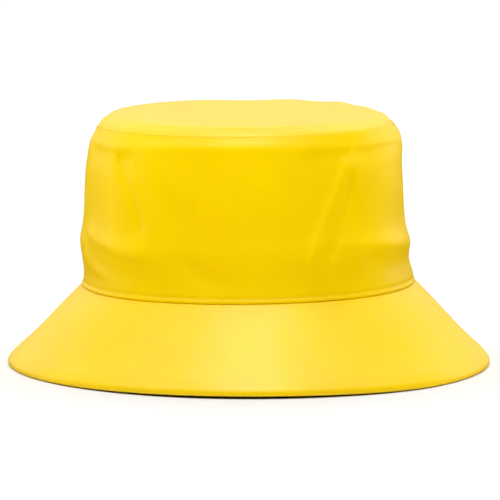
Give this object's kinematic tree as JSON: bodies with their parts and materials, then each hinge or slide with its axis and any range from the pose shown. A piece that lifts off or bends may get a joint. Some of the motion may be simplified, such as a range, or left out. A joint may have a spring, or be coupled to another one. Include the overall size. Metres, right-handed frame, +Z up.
{
  "type": "rain bucket hat",
  "caption": "Bucket hat of smooth yellow coated rain cloth with an oval flat crown and a flared brim, standing on its rim.",
  "frame": {"origin": "middle of the rim, on the surface that the hat stands on", "axes": "+Z up through the crown, -Y out of the hat's front, +X to the right in a front view; the hat is longest front to back"},
  "size_m": [0.2687, 0.2958, 0.1413],
  "materials": {
    "crown_cloth": "smooth satin coating on woven cloth",
    "brim_cloth": "smooth satin coating on woven cloth, two layers"
  },
  "bodies": {
    "root": {"crown_top": "crown_cloth", "crown_side": "crown_cloth", "brim": "brim_cloth"}
  },
  "joints": []
}
